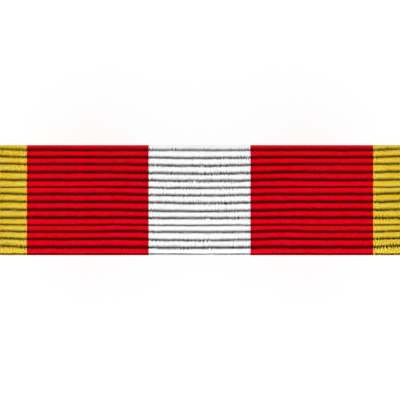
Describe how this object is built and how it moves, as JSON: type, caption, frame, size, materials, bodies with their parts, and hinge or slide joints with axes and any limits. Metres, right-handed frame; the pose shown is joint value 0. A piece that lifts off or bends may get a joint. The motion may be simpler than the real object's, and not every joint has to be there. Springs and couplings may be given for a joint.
{
  "type": "ribbon bar",
  "caption": "Striped, ribbed ribbon wrapped round a folded sheet-metal bar that slides on a pin-backed mounting bar held by push-on clutches; worn on the chest in place of a medal.",
  "frame": {"origin": "on the surface that the bar lies on, under the middle of the bar", "axes": "+X along the bar's length and its ribs, towards the right end seen from the front; +Y across the ribs, towards the bar's top edge as worn; +Z out of the ribbon's front"},
  "size_m": [0.035, 0.0096, 0.0108],
  "materials": {
    "ribbon": "ribbed rayon weave with warp stripes of gold, red, white, red and gold",
    "base_plate": "rolled sheet, satin, lightly tarnished",
    "mounting_bar": "rolled strip with drawn posts, satin",
    "clutch": "stamped and polished, with handling marks"
  },
  "bodies": {
    "root": {"ribbon": "ribbon", "base_plate": "base_plate", "mounting_bar": "mounting_bar", "clutch_left": "clutch", "clutch_right": "clutch"}
  },
  "joints": []
}
